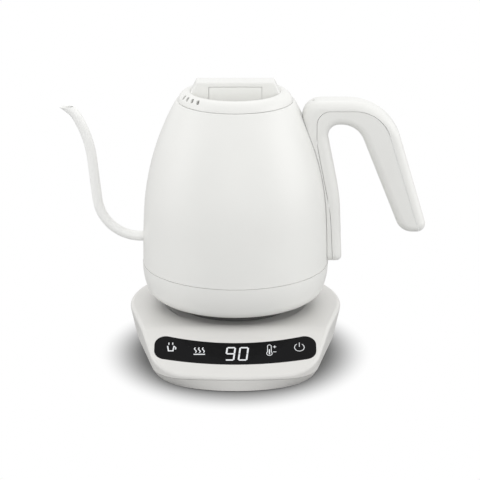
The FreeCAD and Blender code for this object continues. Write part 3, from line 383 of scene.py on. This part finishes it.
def arc_points(centre, radius, first, last, count):
    """Points on an arc of the panel; angles in degrees from straight up, clockwise."""
    turns = [math.radians(first + (last - first) * step / count) for step in range(count + 1)]
    return [(centre[0] + radius * math.sin(turn), centre[1] - radius * math.cos(turn)) for turn in turns]


def lit_figure(form, across, bars):
    """Seven-bar figure that leans to the right; its bars are named by their two ends."""
    for bar in bars:
        start, end = (Vector((x * figure_width_mm / 2, y * figure_height_mm / 2)) for x, y in bar)
        short = (end - start).normalized() * figure_gap_mm
        ends = [(spot.x - figure_lean * spot.y, spot.y) for spot in (start + short, end - short)]
        sign_stroke(form, (across, figures_down_mm), ends, figure_stroke_mm)


top_bar = ((-1, -1), (1, -1))
middle_bar = ((-1, 0), (1, 0))
bottom_bar = ((-1, 1), (1, 1))
upper_left_bar = ((-1, -1), (-1, 0))
lower_left_bar = ((-1, 0), (-1, 1))
upper_right_bar = ((1, -1), (1, 0))
lower_right_bar = ((1, 0), (1, 1))

# Points of the signs are millimetres across and down from each sign's centre.
signs = bmesh.new()
nine = (top_bar, middle_bar, bottom_bar, upper_left_bar, upper_right_bar, lower_right_bar)
nought = (top_bar, bottom_bar, upper_left_bar, lower_left_bar, upper_right_bar, lower_right_bar)
lit_figure(signs, tens_across_mm, nine)
lit_figure(signs, units_across_mm, nought)

# Cup with a handle and two wisps of steam
cup = (-51.2, 20.6)
sign_stroke(signs, cup, ((-3.2, -1.2), (-2.4, 4.0), (1.2, 4.0), (2.0, -1.2)), thick_stroke_mm)
sign_stroke(signs, cup, arc_points((2.0, 1.2), radius=1.5, first=10, last=150, count=8), sign_stroke_mm)
for across in (-2.2, 0.9):
    sign_stroke(signs, cup, ((across, -2.4), (across, -4.6)), sign_stroke_mm)

# Three waves of heat over a hotplate
boil = (-28.8, 24.6)
wave_width_mm = 0.8
wave_turn = 0.9
wave_step_mm = 0.75
wave_steps = 8
wave_foot_mm = 1.8
sign_stroke(signs, boil, ((-4.6, 3.6), (4.6, 3.6)), thick_stroke_mm)
for across in (-3.2, 0.0, 3.2):
    wave = [
        (across + wave_width_mm * math.sin(wave_turn * step), wave_foot_mm - wave_step_mm * step)
        for step in range(wave_steps)
    ]
    sign_stroke(signs, boil, wave, sign_stroke_mm)

# Thermometer with plus and minus
thermometer = (27.4, 24.0)
tube = arc_points((0.0, -4.2), radius=1.5, first=-90, last=90, count=8)
bulb = arc_points((0.0, 3.2), radius=2.2, first=43, last=317, count=14)
sign_stroke(signs, thermometer, [*tube, *bulb, tube[0]], thin_stroke_mm)
sign_stroke(signs, thermometer, ((0.0, -1.0), (0.0, 4.2)), thick_stroke_mm)
sign_stroke(signs, thermometer, ((2.9, -3.6), (5.5, -3.6)), thin_stroke_mm)
sign_stroke(signs, thermometer, ((4.2, -4.9), (4.2, -2.3)), thin_stroke_mm)
sign_stroke(signs, thermometer, ((2.9, 1.6), (5.5, 1.6)), thin_stroke_mm)

# Power sign: an open ring and a bar
power = (51.5, 20.9)
sign_stroke(signs, power, arc_points((0.0, 0.0), radius=3.9, first=32, last=328, count=32), thin_stroke_mm)
sign_stroke(signs, power, ((0.0, -5.0), (0.0, -0.6)), thin_stroke_mm)

print_white = "#F6F8FA"
light_spread_mm = 4.0
light_low = 0.85
light_high = 1.0

lit_white, tree, place = start_material("back_lit_white_print")
spread = add_node(tree, "TexNoise", {"Scale": 1 / (light_spread_mm * MM), "Detail": 1.0}, {"Vector": place})
level = add_node(
    tree,
    "MapRange",
    {"To Min": light_low, "To Max": light_high},
    {"Value": spread.outputs["Fac"]},
)
shader = add_node(tree, "Emission", {"Color": linear(print_white)}, {"Strength": level.outputs["Result"]})
add_node(tree, "OutputMaterial", {}, {"Surface": shader.outputs[0]})

signs_mesh = bpy.data.meshes.new("panel_signs")
signs.to_mesh(signs_mesh)
signs.free()
signs_mesh.materials.append(lit_white)
panel_signs = bpy.data.objects.new("panel_signs", signs_mesh)
bpy.context.scene.collection.objects.link(panel_signs)
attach(panel_signs, "power_base")

# Coupling: a round post on the base and the socket that turns on it, both black moulded plastic.
# Rings and blades of plain brass, lightly rubbed bright, carry the current between them.

brass_bright = "#CFAE66"
brass_dull = "#B08A45"
brass_roughness = 0.3
brass_rub_mm = 1.0

brass = plain_metal("plain_brass", brass_bright, brass_dull, brass_roughness, brass_rub_mm, no_stretch)
dress(black_plastic, "base_connector", "kettle_socket")
dress(brass, "connector_contacts", "socket_contacts")

# Vessel, strainer and sensor: stainless steel, drawn to shape and brushed on a lathe.
# The brush marks run round the kettle's axis, so they are stretched flat and stacked in height;
# real marks are under a tenth of a millimetre and are drawn coarser to show.

steel_bright = "#CFCFCD"
steel_dull = "#B2B2B0"
steel_roughness = 0.3
brush_mm = 0.5
brush_stretch = (0.03, 0.03, 1.0)

stainless = plain_metal(
    "brushed_stainless_steel",
    steel_bright,
    steel_dull,
    steel_roughness,
    brush_mm,
    brush_stretch,
)
dress(stainless, "inner_vessel", "spout_strainer", "temperature_sensor")

# Heater: a cast aluminium plate under the vessel, with a bent tube element and two cut-outs, in a black
# plastic carrier ring. The casting has a dull, slightly rough skin; heat has tinted the steel parts
# brown and blue.

casting_bright = "#C6C6C6"
casting_dull = "#AAAAAA"
casting_roughness = 0.52
casting_skin_mm = 2.0
heat_brown = "#7A6F63"
heat_blue = "#585A66"
heated_roughness = 0.42
heat_tint_mm = 8.0

aluminium = plain_metal(
    "cast_aluminium",
    casting_bright,
    casting_dull,
    casting_roughness,
    casting_skin_mm,
    no_stretch,
)
dark_steel = plain_metal(
    "heat_tinted_steel",
    heat_brown,
    heat_blue,
    heated_roughness,
    heat_tint_mm,
    no_stretch,
)
dress(aluminium, "heater_plate")
dress(dark_steel, "heater_element", "thermal_cutouts")
dress(black_plastic, "vessel_carrier")

# Seals: rings of white silicone, pressed over the vessel's mouth, the sensor, the spout and the lid.
# Silicone is soft and a little cloudy, with a dull skin.

silicone_white = "#DCDCD8"
silicone_cloud = "#D0D0CC"
silicone_roughness = 0.55
silicone_skin_mm = 0.7
silicone_skin_depth_mm = 0.01

silicone = moulded_plastic(
    "white_silicone",
    silicone_white,
    silicone_cloud,
    silicone_roughness,
    silicone_skin_mm,
    silicone_skin_depth_mm,
)
dress(silicone, "vessel_seal", "sensor_seal", "spout_gasket", "lid_seal")

# Neck ring and lid base: pale grey food-grade plastic around the mouth and under the lid.
# They are moulded smooth and clipped into the white shell and cap.

food_grey = "#E2E2E0"
food_grey_shade = "#DCDCDA"
food_roughness = 0.4
food_grain_depth_mm = 0.003

food_plastic = moulded_plastic(
    "pale_grey_food_plastic",
    food_grey,
    food_grey_shade,
    food_roughness,
    casing_grain_mm,
    food_grain_depth_mm,
)
dress(food_plastic, "neck_ring", "lid_base")

# Outer shell and handle: white satin plastic, the same as the base's; the base's colour is set darker as
# painted shade.
# The shell drops over the vessel and meets the bowl along a fine seam; the handle's two shells
# meet along a groove round the inside of the hook.

kettle_white = "#E8E8E5"
kettle_shade = "#E4E4E1"

casing = moulded_plastic(
    "white_satin_moulded_plastic",
    kettle_white,
    kettle_shade,
    casing_roughness,
    casing_grain_mm,
    casing_grain_depth_mm,
)
dress(casing, "outer_shell", "handle_outer_shell", "handle_inner_cover")

# Bottom bowl: white satin plastic like the shell, with its underside and foot ring coloured matt dark grey as
# painted shade for the shadowed gap between the bowl and the base.
# It is screwed to the carrier from below and stands on its foot ring.

painted_shade_grey = "#565655"
painted_shade_level_mm = 45.8
painted_shade_edge_mm = 0.1

bowl_plastic = moulded_plastic(
    "white_satin_plastic_with_painted_shade_underside",
    kettle_white,
    kettle_shade,
    casing_roughness,
    casing_grain_mm,
    casing_grain_depth_mm,
)
tree = bowl_plastic.node_tree
shader = next(node for node in tree.nodes if node.type == "BSDF_PRINCIPLED")
white_tint = shader.inputs["Base Color"].links[0].from_socket
place = add_node(tree, "TexCoord", {}, {}).outputs["Object"]
height = add_node(tree, "SeparateXYZ", {}, {"Vector": place})
# Below the level the white turns dark grey, which is painted shade under the bowl.
above = add_node(
    tree,
    "MapRange",
    {"From Min": painted_shade_level_mm * MM, "From Max": (painted_shade_level_mm + painted_shade_edge_mm) * MM},
    {"Value": height.outputs["Z"]},
)
painted_shade_mix = add_node(
    tree,
    "MixRGB",
    {"Color1": linear(painted_shade_grey)},
    {"Fac": above.outputs["Result"], "Color2": white_tint},
)
tree.links.new(painted_shade_mix.outputs["Color"], shader.inputs["Base Color"])
dress(bowl_plastic, "bottom_bowl")

# Spout: a swan-neck steel tube with white baked paint, clamped to the shell by a gasket.
# The paint is glossier than the plastic and has a shallow orange-peel waviness.

paint_white = "#F4F4F2"
paint_shade = "#F0F0EE"
paint_roughness = 0.28
peel_mm = 1.8
peel_depth_mm = 0.0015

paint = moulded_plastic(
    "white_baked_paint",
    paint_white,
    paint_shade,
    paint_roughness,
    peel_mm,
    peel_depth_mm,
)
dress(paint, "spout_tube")

# Lid: a white cap with a bridge grip across its well, and two pinch buttons in the grip.
# All three are moulded in the same satin plastic as the shell; the buttons slide in the grip's windows.

dress(casing, "lid_cap", "front_button", "rear_button")

# Leaf springs: two bowed strips of tempered steel, left dark grey, between the grip's rib and the buttons.
# Each one flattens against the rib as its button is pressed home.

spring_bright = "#8E9096"
spring_dull = "#74767C"
spring_roughness = 0.35
spring_draw_mm = 0.8
merge_mm = 0.001
sharp_edge = math.radians(30)

spring_steel = plain_metal(
    "tempered_spring_steel",
    spring_bright,
    spring_dull,
    spring_roughness,
    spring_draw_mm,
    no_stretch,
)


def flexing_leaf(node):
    """Copy of a leaf spring, smoothed along its bow and put on the lid in place of the hidden node."""
    form = bmesh.new()
    form.from_mesh(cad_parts[node].data)
    bmesh.ops.remove_doubles(form, verts=form.verts, dist=merge_mm * MM)
    for face in form.faces:
        face.smooth = True
    for edge in form.edges:
        edge.smooth = edge.calc_face_angle(math.pi) < sharp_edge
    mesh = bpy.data.meshes.new(node + "_leaf")
    form.to_mesh(mesh)
    form.free()
    mesh.materials.clear()
    mesh.materials.append(spring_steel)
    leaf = bpy.data.objects.new(node + "_leaf", mesh)
    bpy.context.scene.collection.objects.link(leaf)
    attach(leaf, "lid")
    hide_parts(node)
    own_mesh(leaf)


flexing_leaf("front_spring")
flexing_leaf("rear_spring")

# Studio: a paper floor, four soft lights and the camera at the photograph's viewing angle.
# As the camera sees it, the paper is dark grey round the base, a painted shadow laid over its real shadow,
# and it runs out to plain white further away; studio sizes are in metres.

floor_half_width = 6.0
# The camera-seen paper tone is dark grey, which is a painted shadow round the base on top of its real shadow.
painted_shadow_paper_tone = "#7C7C7C"
paper_bounce = "#B4B4B4"
studio_white = "#FFFFFF"
painted_shadow_shift = (0.0, 0.02, 0.0)
painted_shadow_stretch = (1.15, 1.0, 1.0)
painted_shadow_fade_start = 0.083
painted_shadow_fade_end = 0.132
room_level = 1.0
view_target = Vector((0.0038, 0.0, 0.0912))
view_elevation = math.radians(17.94)
view_distance = 1.6555
lens_mm = 148.9
sensor_mm = 36.0

floor_form = bmesh.new()
bmesh.ops.create_grid(floor_form, x_segments=1, y_segments=1, size=floor_half_width)
floor_mesh = bpy.data.meshes.new("floor")
floor_form.to_mesh(floor_mesh)
floor_form.free()
floor = bpy.data.objects.new("floor", floor_mesh)
bpy.context.scene.collection.objects.link(floor)

paper, tree, place = start_material("studio_paper_with_painted_shadow")
seen = add_node(tree, "LightPath", {}, {})
tone = add_node(
    tree,
    "MixRGB",
    {"Color1": linear(paper_bounce), "Color2": linear(painted_shadow_paper_tone)},
    {"Fac": seen.outputs["Is Camera Ray"]},
)
matt = add_node(tree, "BsdfDiffuse", {}, {"Color": tone.outputs["Color"]})
white = add_node(tree, "Emission", {"Color": linear(studio_white)}, {})
# The painted shadow fades to white emission with distance from a point just in front of the base's centre.
from_base = add_node(tree, "Mapping", {"Location": painted_shadow_shift, "Scale": painted_shadow_stretch}, {"Vector": place})
reach = add_node(tree, "VectorMath", {"operation": "LENGTH"}, {"Vector": from_base.outputs["Vector"]})
fade = add_node(
    tree,
    "MapRange",
    {"From Min": painted_shadow_fade_start, "From Max": painted_shadow_fade_end, "interpolation_type": "SMOOTHSTEP"},
    {"Value": reach.outputs["Value"]},
)
share = add_node(
    tree,
    "Math",
    {"operation": "MULTIPLY"},
    {0: fade.outputs["Result"], 1: seen.outputs["Is Camera Ray"]},
)
shader = add_node(
    tree,
    "MixShader",
    {},
    {"Fac": share.outputs["Value"], 1: matt.outputs[0], 2: white.outputs[0]},
)
add_node(tree, "OutputMaterial", {}, {"Surface": shader.outputs[0]})
floor_mesh.materials.append(paper)

world = bpy.data.worlds.new("studio_room")
bpy.context.scene.world = world
world.use_nodes = True
tree = world.node_tree
tree.nodes.clear()
sky = add_node(tree, "Background", {"Color": linear(studio_white), "Strength": room_level}, {})
add_node(tree, "OutputWorld", {}, {"Surface": sky.outputs[0]})


def softbox(name, place, width, watts):
    """Square soft light aimed at the kettle."""
    data = bpy.data.lights.new(name, "AREA")
    data.shape = "SQUARE"
    data.size = width
    data.energy = watts
    lamp = bpy.data.objects.new(name, data)
    lamp.location = place
    lamp.rotation_euler = (view_target - Vector(place)).to_track_quat("-Z", "Y").to_euler()
    bpy.context.scene.collection.objects.link(lamp)


softbox("left_softbox", place=(-1.6, -0.3, 0.5), width=1.2, watts=5)
softbox("right_softbox", place=(1.6, -0.3, 0.5), width=1.2, watts=7)
softbox("front_softbox", place=(0.0, -2.2, 0.5), width=1.5, watts=6)
softbox("back_softbox", place=(0.0, 1.1, 1.6), width=1.0, watts=2.5)

camera_data = bpy.data.cameras.new("camera")
camera_data.lens = lens_mm
camera_data.sensor_width = sensor_mm
camera = bpy.data.objects.new("camera", camera_data)
toward_camera = Vector((0.0, -math.cos(view_elevation), math.sin(view_elevation)))
camera.location = view_target + toward_camera * view_distance
camera.rotation_euler = (-toward_camera).to_track_quat("-Z", "Y").to_euler()
bpy.context.scene.collection.objects.link(camera)
bpy.context.scene.camera = camera
bpy.context.scene.view_settings.view_transform = "Standard"
